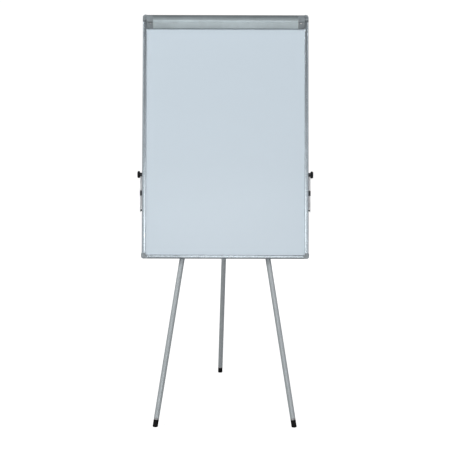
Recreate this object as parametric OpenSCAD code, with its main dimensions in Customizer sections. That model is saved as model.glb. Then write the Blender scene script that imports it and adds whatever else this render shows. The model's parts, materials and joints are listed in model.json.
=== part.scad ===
// Flipchart easel: a framed magnetic board on three telescopic tube legs.
// Millimetres, +Z up, front of the board towards -Y, floor at Z = 0.
// Pieces of the board are drawn upright in the board's own frame (front face of the
// frame at Y = 0, lower edge at Z = 0) and then leaned back together.

/* [Board] */
// Width of the framed board
board_w = 700; // [640:1:760]
// Height of the framed board, along its own face
board_h = 1030; // [980:1:1060]
// Lean of the board back from upright, in degrees
board_lean = 9; // [6:0.5:12]
// Height of the board's lower front edge above the floor
board_rise = 702; // [620:1:760]
// Width of the frame's face
frame_face = 16; // [15:0.5:18]
// Depth of the frame, front to back
frame_depth = 22; // [21:0.5:24]

/* [Legs] */
// Outer diameter of the leg tubes
tube_d = 22; // [21:0.5:24]
// Wall thickness of the leg tubes
tube_wall = 1.2; // [1:0.1:1.4]
// Sideways splay of each front leg, in degrees
leg_splay = 8.92; // [7:0.02:10]
// Half the distance between the front legs' pivots
pivot_x = 35.2; // [33:0.1:38]
// Height of the front legs' pivots on the board
pivot_z = 930; // [920:1:935]
// Swing of the rear leg away from the board's plane, in degrees
rear_swing = 29.4; // [24:0.1:32]
// Offset of the rear leg's hinge from the middle of the board
rear_x = 22; // [0:0.5:24]
// Sideways lean of the rear leg, in degrees
rear_skew = 1.7; // [0:0.1:2]

/* [Pad clamp] */
// Length of each end cap of the clamp
cap_len = 27; // [24:0.5:30]
// Radius of the clamp bar's bulging upper face
bulge_r = 42.7; // [42:0.1:44]
// Thickness of the clamp bar's wall
clamp_wall = 1.8; // [1.6:0.1:2]
// Distance of each pad pin from the middle of the board
pad_pin_x = 225; // [150:1:240]

/* [Side arms] */
// Height of the side arms' rods on the board
rod_z = 354; // [300:1:400]
// Diameter of the pull-out rods
rod_d = 6; // [5:0.5:6]
// Length of each hanging clip arm, from the rod to its plug
arm_len = 152; // [120:1:180]
// Diameter of the arm knobs
knob_d = 30; // [26:1:32]
// Thickness of the arm knobs
knob_t = 11; // [10:0.5:13]

/* [Hidden] */
$fn = 64;
half_w = board_w / 2;
inner_x = half_w - frame_face;
fit = 0.05;                    // radial running clearance
gap = 0.3;                     // plain clearance

// Board panel: steel face sheet, light core, thin back sheet
sheet_t = 0.5;
core_t = 8;
face_y = 3.2;
core_y = face_y + sheet_t;
back_y = core_y + core_t;
panel_back = back_y + sheet_t;
panel_x = half_w - 8;
panel_low = 8;
panel_top = board_h - 18;

// Frame
wall = 1.5;
corner = 24;
corner_proud = 2;
top_corner = 30;
chamber_y = panel_back + 1.8;
chamber_end = frame_depth - wall;
tongue = 30;

// Tripod head
leg_y = 40;                    // plane of the front legs, behind the frame's face
tube_r = tube_d / 2;
bore_r = tube_r - tube_wall;
plate_t = 2.5;
rear_plate_y = 52.5;
rear_y = 80;                   // plane of the rear leg when it is folded
rear_z = pivot_z + 28;
bolt_r = 3;
front_top = 15;                // tube above a front pivot
rear_top = 8;                  // tube above the rear hinge
cap_t = 3;

// Lower leg guide
guide_z = 60;
guide_x = pivot_x + (pivot_z - guide_z) * tan(leg_splay);

// Telescopic ends, measured up each leg from the floor
inner_r = 9;
inner_wall = 1.2;
inner_len = 420;
foot_h = 30;
foot_sole = 7;
collar_h = 6;
tube_end = foot_h + 1 + collar_h;
bush_len = 30;
lock_up = tube_end + 45;
lock_r = 2.5;

// Heights of the pivots above the floor, and the legs' lengths to the floor
lean_s = sin(board_lean);
lean_c = cos(board_lean);
front_pivot_h = board_rise + pivot_z * lean_c - leg_y * lean_s;
rear_pivot_h = board_rise + rear_z * lean_c - rear_y * lean_s;
front_drop = cos(leg_splay) * lean_c;
rear_drop = sin(rear_swing) * lean_s + cos(rear_swing) * cos(rear_skew) * lean_c;
front_len = front_pivot_h / front_drop;
rear_len = rear_pivot_h / rear_drop;

// Feet along Y, from the board's lower front edge, so that Y = 0 is the middle
rear_reach = sin(rear_swing) * lean_c - cos(rear_swing) * cos(rear_skew) * lean_s;
front_foot_y = leg_y * lean_c + pivot_z * lean_s - front_len * cos(leg_splay) * lean_s;
rear_foot_y = rear_y * lean_c + rear_z * lean_s + rear_len * rear_reach;
front_edge = front_foot_y - tube_r / lean_c;
rear_edge = rear_foot_y + tube_r * sqrt(1 + pow(rear_reach / rear_drop, 2));
board_y = -(front_edge + rear_edge) / 2;

// Pad clamp, in the board's frame
hinge_y = -5;
hinge_z = board_h - 22;
hinge_r = 2.5;
groove_z = board_h - 33;
bulge_y = bulge_r - 16;
clamp_low = board_h - 59.5;
clamp_high = board_h - 4;
clamp_x = inner_x - 1;
bar_x = clamp_x - cap_len;
pocket_y = -11.5;
cap_screw_x = clamp_x - 16;
cap_screw_z = groove_z - 6.5;
coil_r = 3.8;
wire_r = 0.7;
coil_turns = 5;
coil_steps = 12;
wire_sides = 6;
coil_pitch = 2.6;
coil_first = -20;
coil_last = coil_turns * 360 + 200;
spring_leg = 10;
spring_in = bar_x - 19;

// Pad pins
pin_z = board_h - 37;
pin_rail_x = 290;
pin_r = 3;

// Side arms, in the board's frame
rod_y = 17.2;
rod_r = rod_d / 2;
rod_in = 34;
eye_in = half_w + 1.1;
eye_out = half_w + 8.7;
eye_r = 6;
hub_r = 8.5;
knob_in = eye_out + gap;

// ---- placing and small shapes ----

// Board frame to the room
module on_board() {
    translate([0, board_y, board_rise]) rotate([-board_lean, 0, 0]) children();
}

// Left (-1) or right (+1) copy of a piece drawn for the right side
module side(s) {
    mirror([s < 0 ? 1 : 0, 0, 0]) children();
}

// Extrudes a section drawn in Y and Z along X
module along_x(x0, len) {
    translate([x0, 0, 0]) rotate([90, 0, 90]) linear_extrude(height = len) children();
}

module box(low, high) {
    translate(low) cube(high - low);
}

module rod_x(x0, x1, y, z, r) {
    translate([x0, y, z]) rotate([0, 90, 0]) cylinder(h = x1 - x0, r = r);
}

module rod_y(y0, y1, x, z, r) {
    translate([x, y0, z]) rotate([-90, 0, 0]) cylinder(h = y1 - y0, r = r);
}

// Square with one rounded corner at its origin
module soft_corner(w, h, r) {
    intersection() {
        square([w, h]);
        union() {
            translate([r, r]) circle(r = r);
            translate([r, 0]) square([w, h]);
            translate([0, r]) square([w, h]);
        }
    }
}

// Fluted knob standing on Z = 0
module fluted_knob(r, h, flutes) {
    difference() {
        union() {
            cylinder(h = h - 1.5, r = r);
            translate([0, 0, h - 1.5]) cylinder(h = 1.5, r1 = r, r2 = r - 1.5);
        }
        for (i = [0 : flutes - 1])
            rotate([0, 0, 360 * i / flutes]) translate([r + r * 0.16, 0, -1])
                cylinder(h = h + 2, r = r * 0.28, $fn = 24);
    }
}

// ---- board panel ----

module panel_sheet(y, t) {
    box([-panel_x, y, panel_low], [panel_x, y + t, panel_top]);
}

module panel_screw_holes() {
    for (p = screw_places()) rod_y(core_y + 1, panel_back + 1, p[0], p[1], 1.85);
}

// Screws that hold the tripod head and the leg guide to the back: [x, z, y of the head]
function screw_places() = concat(
    [for (x = [-55, 55], z = [pivot_z - 20, pivot_z + 34]) [x, z, panel_back + plate_t]],
    [for (x = [-guide_x - 20, guide_x + 20]) [x, guide_z, rear_plate_y + 1]]
);

module writing_sheet() {
    color([0.82, 0.86, 0.89]) on_board() panel_sheet(face_y, sheet_t);
}

module core_panel() {
    color([0.75, 0.62, 0.45]) on_board() difference() {
        panel_sheet(core_y, core_t);
        panel_screw_holes();
    }
}

module back_sheet() {
    color([0.62, 0.64, 0.66]) on_board() difference() {
        panel_sheet(back_y, sheet_t);
        panel_screw_holes();
    }
}

// ---- frame ----

// Rail section: X runs inwards from the outer edge, Y runs back from the face
module rail_section() {
    difference() {
        soft_corner(frame_face, frame_depth, 3.5);
        translate([7, face_y - 0.2]) square([frame_face, panel_back - face_y + 0.4]);
        translate([wall, face_y]) square([4, panel_back - face_y]);
        translate([wall, chamber_y]) square([frame_face - 2 * wall, chamber_end - chamber_y]);
        translate([7, -0.1]) square([0.8, 0.8]);
    }
}

module side_rail() {
    difference() {
        translate([-half_w, 0, corner]) linear_extrude(height = board_h - corner - top_corner)
            rail_section();
        rod_x(-half_w - 1, -inner_x + 1, rod_y, rod_z, 4 + fit);
    }
}

module side_rail_left() {
    color([0.66, 0.68, 0.7]) on_board() side_rail();
}

module side_rail_right() {
    color([0.66, 0.68, 0.7]) on_board() side(-1) side_rail();
}

module bottom_rail() {
    reach = half_w + corner_proud - corner;
    color([0.66, 0.68, 0.7]) on_board() translate([reach, 0, 0]) rotate([0, -90, 0])
        linear_extrude(height = 2 * reach) rail_section();
}

// The top rail sits back from the face, so that the clamp's upper edge can swing in
module top_rail() {
    front = 7;
    low = panel_top + 0.4;
    color([0.6, 0.62, 0.64]) on_board() along_x(-inner_x, 2 * inner_x) difference() {
        union() {
            translate([front, low]) square([frame_depth - front, board_h - low]);
            translate([panel_back + 0.2, low - 8]) square([wall, 10]);
        }
        translate([front + wall, low + wall])
            square([frame_depth - front - 2 * wall, board_h - low - 2 * wall]);
    }
}

// Tongue that plugs into a rail's rear chamber, running up from Z = z0
module corner_tongue(z0, len) {
    box([-half_w + wall + 0.2, chamber_y + 0.2, z0],
        [-inner_x - wall - 0.2, chamber_end - 0.2, z0 + len]);
}

module top_corner_piece() {
    z0 = board_h - top_corner;
    difference() {
        union() {
            translate([0, frame_depth, 0]) rotate([90, 0, 0]) linear_extrude(height = frame_depth)
                translate([-half_w, board_h]) mirror([0, 1]) soft_corner(frame_face, top_corner, 12);
            rod_x(-half_w + 1, -inner_x, hinge_y, hinge_z, 6.5);
            box([-half_w + 1, hinge_y, hinge_z - 6.5], [-inner_x, 1, hinge_z + 6.5]);
            corner_tongue(z0 - tongue, tongue + 1);
        }
        box([-half_w + 7, face_y - 0.2, z0 - 1], [0, panel_back + 0.2, panel_top + 0.2]);
        rod_x(-inner_x - 12, 0, hinge_y, hinge_z, hinge_r + 0.02);
    }
}

module top_corner_left() {
    color([0.45, 0.47, 0.49]) on_board() top_corner_piece();
}

module top_corner_right() {
    color([0.45, 0.47, 0.49]) on_board() side(-1) top_corner_piece();
}

module bottom_corner_piece() {
    x0 = -half_w - corner_proud;
    difference() {
        union() {
            translate([0, frame_depth, 0]) rotate([90, 0, 0])
                linear_extrude(height = frame_depth + 1) translate([x0, 0])
                    soft_corner(corner, corner, 10);
            corner_tongue(corner - 1, tongue);
            box([x0 + corner - 1, chamber_y + 0.2, wall + 0.2],
                [x0 + corner + tongue, chamber_end - 0.2, frame_face - wall - 0.2]);
        }
        box([-half_w + 7, face_y - 0.2, 7], [0, panel_back + 0.2, corner + 1]);
        box([-inner_x, -2, frame_face], [0, face_y, corner + 1]);
    }
}

module bottom_corner_left() {
    color([0.5, 0.52, 0.54]) on_board() bottom_corner_piece();
}

module bottom_corner_right() {
    color([0.5, 0.52, 0.54]) on_board() side(-1) bottom_corner_piece();
}

// ---- pad clamp ----

module bulge_disc(r) {
    translate([bulge_y, groove_z]) circle(r = r, $fn = 128);
}

// Outline of the clamp's lower lip, with the given thickness at its root
module lip_outline(root) {
    polygon([
        [-15.9, groove_z - 2.6], [-3.4, clamp_low], [-0.6, clamp_low],
        [-0.6, clamp_low + 5.5], [-1.8, clamp_low + 5.5], [-15.9 + root, groove_z - 2.6]
    ]);
}

module clamp_bar() {
    color([0.72, 0.74, 0.76]) on_board() along_x(-bar_x, 2 * bar_x) union() {
        intersection() {
            difference() {
                bulge_disc(bulge_r);
                bulge_disc(bulge_r - clamp_wall);
            }
            translate([-20, groove_z]) square([19, clamp_high - groove_z]);
        }
        translate([-14.9, groove_z - 3]) square([clamp_wall, 4]);
        lip_outline(2.6);
    }
}

module clamp_cap() {
    difference() {
        along_x(bar_x, cap_len) union() {
            intersection() {
                bulge_disc(bulge_r + 0.4);
                translate([-20, groove_z]) square([19, clamp_high - 1 - groove_z]);
            }
            translate([-14.9, groove_z - 3]) square([13.9, 4]);
            lip_outline(14.9);
        }
        rod_x(bar_x - 1, clamp_x + 1, hinge_y, hinge_z, hinge_r + fit);
        box([bar_x - 1, hinge_y, hinge_z + 3], [clamp_x - 3, 0, clamp_high]);
        box([clamp_x - 26, -20, groove_z - 10], [clamp_x - 5, pocket_y, groove_z - 3]);
        rod_y(-20, -3, cap_screw_x, cap_screw_z, 1.5 + fit);
    }
}

module clamp_caps() {
    color([0.5, 0.52, 0.54]) on_board() for (s = [-1, 1]) side(s) clamp_cap();
}

module cap_screws() {
    color([0.8, 0.81, 0.82]) on_board() for (s = [-1, 1]) side(s) difference() {
        union() {
            rod_y(pocket_y, -4, cap_screw_x, cap_screw_z, 1.5);
            rod_y(pocket_y - 1.8, pocket_y, cap_screw_x, cap_screw_z, 3);
        }
        for (arm = [[2, 0.5], [0.5, 2]])
            box([cap_screw_x - arm[0], pocket_y - 3, cap_screw_z - arm[1]],
                [cap_screw_x + arm[0], pocket_y - 1, cap_screw_z + arm[1]]);
    }
}

module clamp_grip_strip() {
    color([0.15, 0.15, 0.16]) on_board() box([-clamp_x + 3, -0.6, clamp_low],
                                             [clamp_x - 3, face_y - gap, clamp_low + 5]);
}

module clamp_hinge_pins() {
    color([0.75, 0.76, 0.77]) on_board() for (s = [-1, 1]) side(s)
        rod_x(spring_in - 1, inner_x + 12, hinge_y, hinge_z, hinge_r);
}

// Wire centre of a torsion spring, seen along the hinge: two legs that point up, tangent
// to a close coil. Each entry is [x, y, z, angle of the wire's normal].
function spring_point(a) =
    [spring_in + 1 + (a - coil_first) / 360 * coil_pitch, coil_r * cos(a), coil_r * sin(a), a];
function leg_point(a, along) =
    let (c = spring_point(a)) [c[0], c[1] - along * sin(a), c[2] + along * cos(a), a];

coil_rings = coil_steps * coil_turns + 7;
function coil_angle(i) = coil_first + (coil_last - coil_first) * i / coil_rings;
function spring_path() = concat(
    [leg_point(coil_first, -spring_leg)],
    [for (i = [0 : coil_rings]) spring_point(coil_angle(i))],
    [leg_point(coil_last, spring_leg)]
);
function ring_at(p) = [
    for (k = [0 : wire_sides - 1])
        let (t = 360 * k / wire_sides, out = wire_r * cos(t))
        [p[0] + wire_r * sin(t), p[1] + out * cos(p[3]), p[2] + out * sin(p[3])]
];

module torsion_spring() {
    path = spring_path();
    n = len(path);
    m = wire_sides;
    points = [for (p = path) each ring_at(p)];
    sides = [
        for (i = [0 : n - 2], k = [0 : m - 1])
            let (a = i * m + k, b = i * m + (k + 1) % m)
            each [[a, a + m, b], [b, a + m, b + m]]
    ];
    first_end = [for (k = [0 : m - 1]) k];
    last_end = [for (k = [m - 1 : -1 : 0]) (n - 1) * m + k];
    polyhedron(points, concat([first_end], sides, [last_end]));
}

module clamp_springs() {
    color([0.35, 0.36, 0.38]) on_board() for (s = [-1, 1]) side(s)
        translate([0, hinge_y, hinge_z]) torsion_spring();
}

// ---- pad pins ----

module pad_pin_rail() {
    color([0.6, 0.62, 0.64]) on_board() along_x(-pin_rail_x, 2 * pin_rail_x) difference() {
        translate([-1.2, pin_z - 8]) square([face_y + 1.2, 16]);
        translate([0, pin_z - 7]) square([2.2, 14]);
        translate([-2, pin_z - 4]) square([3, 8]);
    }
}

module pad_pin(x) {
    box([x - 9, gap, pin_z - 6.6], [x + 9, 2.2 - gap, pin_z + 6.6]);
    rod_y(-9, gap + 0.1, x, pin_z, pin_r);
}

module pad_pin_left() {
    color([0.2, 0.2, 0.22]) on_board() pad_pin(-pad_pin_x);
}

module pad_pin_right() {
    color([0.2, 0.2, 0.22]) on_board() pad_pin(pad_pin_x);
}

// ---- tripod head ----

module head_front_plate() {
    boss_end = leg_y - tube_r - 0.5;
    color([0.3, 0.31, 0.33]) on_board() difference() {
        union() {
            box([-70, panel_back, pivot_z - 32], [70, panel_back + plate_t, pivot_z + 42]);
            for (x = [-pivot_x, pivot_x]) rod_y(panel_back, boss_end, x, pivot_z, 9);
            box([-8, panel_back, pivot_z - 25], [8, rear_plate_y, pivot_z + 25]);
        }
        for (x = [-pivot_x, pivot_x])
            rod_y(panel_back + 1, boss_end + 1, x, pivot_z, bolt_r + 0.02);
        for (p = screw_places()) rod_y(panel_back - 1, panel_back + plate_t + 1, p[0], p[1], 2.2);
        for (z = [pivot_z - 15, pivot_z + 15]) rod_y(40, rear_plate_y + 1, 0, z, 2.02);
    }
}

// Places the rear hinge: its pin lies along X, its leg hangs along -Z when folded
module at_rear_hinge() {
    on_board() translate([rear_x, rear_y, rear_z]) rotate([0, rear_skew, 0]) children();
}

module head_rear_plate() {
    y1 = rear_plate_y + plate_t;
    reach = rear_y - y1;
    color([0.3, 0.31, 0.33]) union() {
        on_board() difference() {
            box([-52, rear_plate_y, pivot_z - 30], [52, y1, pivot_z + 46]);
            for (x = [-pivot_x, pivot_x])
                rod_y(rear_plate_y - 1, y1 + 1, x, pivot_z, bolt_r + 0.02);
            for (z = [pivot_z - 15, pivot_z + 15]) rod_y(rear_plate_y - 1, y1 + 1, 0, z, 2.3);
        }
        at_rear_hinge() difference() {
            union() {
                for (s = [-1, 1]) side(s) {
                    box([tube_r + 0.6, -reach - 1, -12], [tube_r + 3.6, 0, 12]);
                    rod_x(tube_r + 0.6, tube_r + 3.6, 0, 0, 12);
                }
                box([-8, -reach - 1, -5], [8, rear_stop_y(), 8]);
            }
            rod_x(-30, 30, 0, 0, bolt_r + 0.02);
        }
    }
}

// The open leg's upper front edge rests on this stop
function rear_stop_y() =
    -tube_r * cos(rear_swing) - (rear_top + cap_t) * sin(rear_swing) - 0.35;

module front_pivot_bolts() {
    color([0.7, 0.71, 0.72]) on_board() for (x = [-pivot_x, pivot_x]) difference() {
        union() {
            rod_y(panel_back + 1.2, rear_plate_y + plate_t + 1, x, pivot_z, bolt_r);
            rod_y(rear_plate_y + plate_t, rear_plate_y + plate_t + 3.5, x, pivot_z, 5.5);
        }
        translate([x, rear_plate_y + plate_t + 1.5, pivot_z]) rotate([-90, 0, 0])
            cylinder(h = 3, r = 2.3, $fn = 6);
    }
}

module pivot_washers() {
    color([0.85, 0.85, 0.83]) on_board() for (x = [-pivot_x, pivot_x]) difference() {
        rod_y(leg_y + tube_r + 0.35, rear_plate_y, x, pivot_z, 8);
        rod_y(leg_y, rear_plate_y + 1, x, pivot_z, bolt_r + 0.02);
    }
}

module rear_hinge_pin() {
    color([0.7, 0.71, 0.72]) at_rear_hinge() union() {
        rod_x(-tube_r - 3.6, tube_r + 3.6, 0, 0, bolt_r);
        for (s = [-1, 1]) side(s) rod_x(tube_r + 3.6, tube_r + 6, 0, 0, 5);
    }
}

// ---- lower leg guide ----

module leg_guide_bar() {
    reach = guide_x + 27;
    color([0.5, 0.52, 0.54]) on_board() difference() {
        box([-reach, rear_plate_y - 1, guide_z - 10], [reach, rear_plate_y + 1, guide_z + 10]);
        for (x = [-guide_x - 20, guide_x + 20])
            rod_y(rear_plate_y - 2, rear_plate_y + 2, x, guide_z, 1.9);
    }
}

// Each spacer's inner side lies along the splayed leg and stops it
module guide_spacers() {
    color([0.2, 0.2, 0.22]) on_board() for (s = [-1, 1]) side(s) difference() {
        translate([guide_x, 0, guide_z]) rotate([0, -leg_splay, 0])
            box([tube_r + 0.35, panel_back, -9], [tube_r + 14, rear_plate_y - 1, 9]);
        rod_y(panel_back - 1, rear_plate_y, guide_x + 20, guide_z, 1.9);
    }
}

module back_screws() {
    color([0.75, 0.76, 0.77]) on_board() {
        for (p = screw_places()) {
            rod_y(core_y + 1.5, p[2], p[0], p[1], 1.8);
            rod_y(p[2], p[2] + 2.2, p[0], p[1], 3.6);
        }
        for (z = [pivot_z - 15, pivot_z + 15]) {
            rod_y(40.5, rear_plate_y + plate_t, 0, z, 2);
            rod_y(rear_plate_y + plate_t, rear_plate_y + plate_t + 2.5, 0, z, 4);
        }
    }
}

// ---- legs ----

// Leg frame: origin at the pivot, leg along -Z, rear side towards +Y
module at_front_leg(s) {
    on_board() translate([s * pivot_x, leg_y, pivot_z]) rotate([0, -s * leg_splay, 0]) children();
}

module at_rear_leg() {
    at_rear_hinge() rotate([rear_swing, 0, 0]) children();
}

module pivot_hole(across) {
    if (across) rod_x(-20, 20, 0, 0, bolt_r + fit);
    else rod_y(-20, 20, 0, 0, bolt_r + fit);
}

// Outer tube with a welded boss for its locking screw
module leg_tube(len, top, across) {
    lock_z = -len + lock_up;
    difference() {
        union() {
            translate([0, 0, -len + tube_end]) cylinder(h = len - tube_end + top, r = tube_r);
            rod_y(bore_r + 0.4, tube_r + 3.5, 0, lock_z, 5);
        }
        translate([0, 0, -len]) cylinder(h = len + top + 1, r = bore_r);
        rod_y(0, tube_r + 5, 0, lock_z, lock_r + fit);
        pivot_hole(across);
    }
}

module leg_plug(top, across) {
    difference() {
        union() {
            translate([0, 0, -28]) cylinder(h = 28 + top, r = bore_r - 0.02);
            translate([0, 0, top]) cylinder(h = cap_t, r = tube_r);
        }
        pivot_hole(across);
        translate([0, 0, -29]) cylinder(h = 18, r = 6);
    }
}

module leg_bush(len) {
    difference() {
        union() {
            translate([0, 0, -len + tube_end]) cylinder(h = bush_len, r = bore_r - 0.02);
            translate([0, 0, -len + tube_end - collar_h]) cylinder(h = collar_h, r = tube_r);
        }
        translate([0, 0, -len]) cylinder(h = tube_end + bush_len + 1, r = inner_r + fit);
    }
}

module inner_tube(len) {
    translate([0, 0, -len + foot_sole]) difference() {
        cylinder(h = inner_len, r = inner_r);
        translate([0, 0, -1]) cylinder(h = inner_len + 2, r = inner_r - inner_wall);
    }
}

module leg_foot(len) {
    translate([0, 0, -len]) difference() {
        union() {
            translate([0, 0, -8]) cylinder(h = foot_h + 6, r = tube_r);
            translate([0, 0, foot_h - 2]) cylinder(h = 2, r1 = tube_r, r2 = tube_r - 1);
        }
        translate([0, 0, foot_sole]) cylinder(h = foot_h, r = inner_r);
    }
}

module lock_screw(len) {
    translate([0, 0, -len + lock_up]) {
        rod_y(inner_r + gap, tube_r + 5, 0, 0, lock_r);
        translate([0, tube_r + 4.5, 0]) rotate([-90, 0, 0]) fluted_knob(6.5, 9, 8);
    }
}

// Removes whatever would reach below the floor
module above_floor() {
    difference() {
        children();
        translate([-1000, -1000, -100]) cube([2000, 2000, 100]);
    }
}

module left_leg_tube() {
    color([0.66, 0.67, 0.68]) at_front_leg(-1) leg_tube(front_len, front_top, false);
}
module right_leg_tube() {
    color([0.66, 0.67, 0.68]) at_front_leg(1) leg_tube(front_len, front_top, false);
}
module rear_leg_tube() {
    color([0.66, 0.67, 0.68]) at_rear_leg() leg_tube(rear_len, rear_top, true);
}

module left_leg_plug() { color([0.2, 0.2, 0.22]) at_front_leg(-1) leg_plug(front_top, false); }
module right_leg_plug() { color([0.2, 0.2, 0.22]) at_front_leg(1) leg_plug(front_top, false); }
module rear_leg_plug() { color([0.2, 0.2, 0.22]) at_rear_leg() leg_plug(rear_top, true); }

module left_leg_bush() { color([0.72, 0.73, 0.74]) at_front_leg(-1) leg_bush(front_len); }
module right_leg_bush() { color([0.72, 0.73, 0.74]) at_front_leg(1) leg_bush(front_len); }
module rear_leg_bush() { color([0.72, 0.73, 0.74]) at_rear_leg() leg_bush(rear_len); }

module left_inner_tube() { color([0.75, 0.76, 0.77]) at_front_leg(-1) inner_tube(front_len); }
module right_inner_tube() { color([0.75, 0.76, 0.77]) at_front_leg(1) inner_tube(front_len); }
module rear_inner_tube() { color([0.75, 0.76, 0.77]) at_rear_leg() inner_tube(rear_len); }

module left_foot() { color([0.08, 0.08, 0.09]) above_floor() at_front_leg(-1) leg_foot(front_len); }
module right_foot() { color([0.08, 0.08, 0.09]) above_floor() at_front_leg(1) leg_foot(front_len); }
module rear_foot() { color([0.08, 0.08, 0.09]) above_floor() at_rear_leg() leg_foot(rear_len); }

module left_lock_screw() { color([0.1, 0.1, 0.11]) at_front_leg(-1) lock_screw(front_len); }
module right_lock_screw() { color([0.1, 0.1, 0.11]) at_front_leg(1) lock_screw(front_len); }
module rear_lock_screw() { color([0.1, 0.1, 0.11]) at_rear_leg() lock_screw(rear_len); }

// ---- side arms, drawn for the right side ----

module rod_guide(x0, x1) {
    difference() {
        box([x0, panel_back, rod_z - 9], [x1, rod_y + 6, rod_z + 9]);
        rod_x(x0 - 1, x1 + 1, rod_y, rod_z, rod_r + fit);
    }
}

module rod_guides() {
    color([0.25, 0.25, 0.27]) on_board() for (s = [-1, 1]) side(s) {
        rod_guide(250, 268);
        rod_guide(310, 328);
    }
}

module rod_bushes() {
    color([0.12, 0.12, 0.13]) on_board() for (s = [-1, 1]) side(s) difference() {
        union() {
            rod_x(inner_x - 1, half_w, rod_y, rod_z, 4);
            rod_x(half_w, half_w + 0.7, rod_y, rod_z, 4.8);
        }
        rod_x(inner_x - 2, half_w + 1, rod_y, rod_z, rod_r + fit);
    }
}

module arm_rod() {
    rod_x(rod_in, knob_in + 6, rod_y, rod_z, rod_r);
    rod_x(rod_in, rod_in + 4, rod_y, rod_z, rod_r + 2);
}

// Moulded cover snapped over the arm's eye, open below for the bar
module arm_hub() {
    difference() {
        rod_x(eye_in, eye_out, rod_y, rod_z, hub_r);
        rod_x(eye_in - 1, eye_out + 1, rod_y, rod_z, eye_r + 0.02);
        box([eye_in - 1, rod_y - 2.52, rod_z - hub_r - 1], [eye_out + 1, rod_y + 2.52, rod_z]);
    }
}

// Eye on the rod, flat bar, and a small pointed hook below the plug
module clip_arm() {
    bar_in = eye_in + 0.2;
    difference() {
        union() {
            rod_x(eye_in, eye_out, rod_y, rod_z, eye_r);
            box([bar_in, rod_y - 2.5, rod_z - arm_len + 6], [eye_out, rod_y + 2.5, rod_z]);
            translate([eye_out - 1.6, rod_y, rod_z - arm_len - 3]) cylinder(h = 12, r = 1.5);
            translate([eye_out - 1.6, rod_y, rod_z - arm_len - 7]) cylinder(h = 4, r1 = 0.3, r2 = 1.5);
        }
        rod_x(eye_in - 1, eye_out + 1, rod_y, rod_z, rod_r + fit);
    }
}

module arm_sleeve() {
    difference() {
        box([eye_in - 0.2, rod_y - 4, rod_z - 89], [eye_out + 0.8, rod_y + 4, rod_z - 67]);
        box([eye_in + 0.2, rod_y - 2.5, rod_z - 90], [eye_out, rod_y + 2.5, rod_z - 66]);
    }
}

module arm_tip() {
    difference() {
        rod_x(eye_in - 0.2, eye_out - 3.2, rod_y, rod_z - arm_len + 2, 4.2);
        box([eye_in - 1, rod_y - 5, rod_z - arm_len + 6], [eye_out, rod_y + 5, rod_z - arm_len + 12]);
    }
}

module arm_knob() {
    difference() {
        translate([knob_in, rod_y, rod_z]) rotate([0, 90, 0]) fluted_knob(knob_d / 2, knob_t, 16);
        rod_x(knob_in - 1, knob_in + 7, rod_y, rod_z, rod_r + fit);
    }
}

module left_arm_rod() { color([0.7, 0.71, 0.72]) on_board() side(-1) arm_rod(); }
module right_arm_rod() { color([0.7, 0.71, 0.72]) on_board() arm_rod(); }
module left_clip_arm() { color([0.74, 0.75, 0.76]) on_board() side(-1) clip_arm(); }
module right_clip_arm() { color([0.74, 0.75, 0.76]) on_board() clip_arm(); }
module left_arm_hub() { color([0.25, 0.26, 0.27]) on_board() side(-1) arm_hub(); }
module right_arm_hub() { color([0.25, 0.26, 0.27]) on_board() arm_hub(); }
module left_arm_sleeve() { color([0.08, 0.08, 0.09]) on_board() side(-1) arm_sleeve(); }
module right_arm_sleeve() { color([0.08, 0.08, 0.09]) on_board() arm_sleeve(); }
module left_arm_tip() { color([0.08, 0.08, 0.09]) on_board() side(-1) arm_tip(); }
module right_arm_tip() { color([0.08, 0.08, 0.09]) on_board() arm_tip(); }
module left_arm_knob() { color([0.06, 0.06, 0.07]) on_board() side(-1) arm_knob(); }
module right_arm_knob() { color([0.06, 0.06, 0.07]) on_board() arm_knob(); }

// ---- drawing ----

writing_sheet();
core_panel();
back_sheet();
side_rail_left();
side_rail_right();
top_rail();
bottom_rail();
top_corner_left();
top_corner_right();
bottom_corner_left();
bottom_corner_right();
clamp_hinge_pins();
clamp_springs();
pad_pin_rail();
clamp_bar();
clamp_caps();
clamp_grip_strip();
cap_screws();
pad_pin_left();
pad_pin_right();
head_front_plate();
head_rear_plate();
front_pivot_bolts();
pivot_washers();
rear_hinge_pin();
leg_guide_bar();
guide_spacers();
back_screws();
rod_guides();
rod_bushes();
left_leg_tube();
left_leg_plug();
left_leg_bush();
left_inner_tube();
left_foot();
left_lock_screw();
right_leg_tube();
right_leg_plug();
right_leg_bush();
right_inner_tube();
right_foot();
right_lock_screw();
rear_leg_tube();
rear_leg_plug();
rear_leg_bush();
rear_inner_tube();
rear_foot();
rear_lock_screw();
left_arm_rod();
left_clip_arm();
left_arm_hub();
left_arm_sleeve();
left_arm_tip();
left_arm_knob();
right_arm_rod();
right_clip_arm();
right_arm_hub();
right_arm_sleeve();
right_arm_tip();
right_arm_knob();
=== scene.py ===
"""Looks of the flipchart easel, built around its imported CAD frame.

Pieces are drawn in millimetres, in the frame of the board or of a leg, and placed from
the CAD's joints and boxes. Each piece rides on the CAD body whose node it replaces.
"""
import json
import math

import bmesh
import bpy
from mathutils import Matrix, Vector


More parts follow.
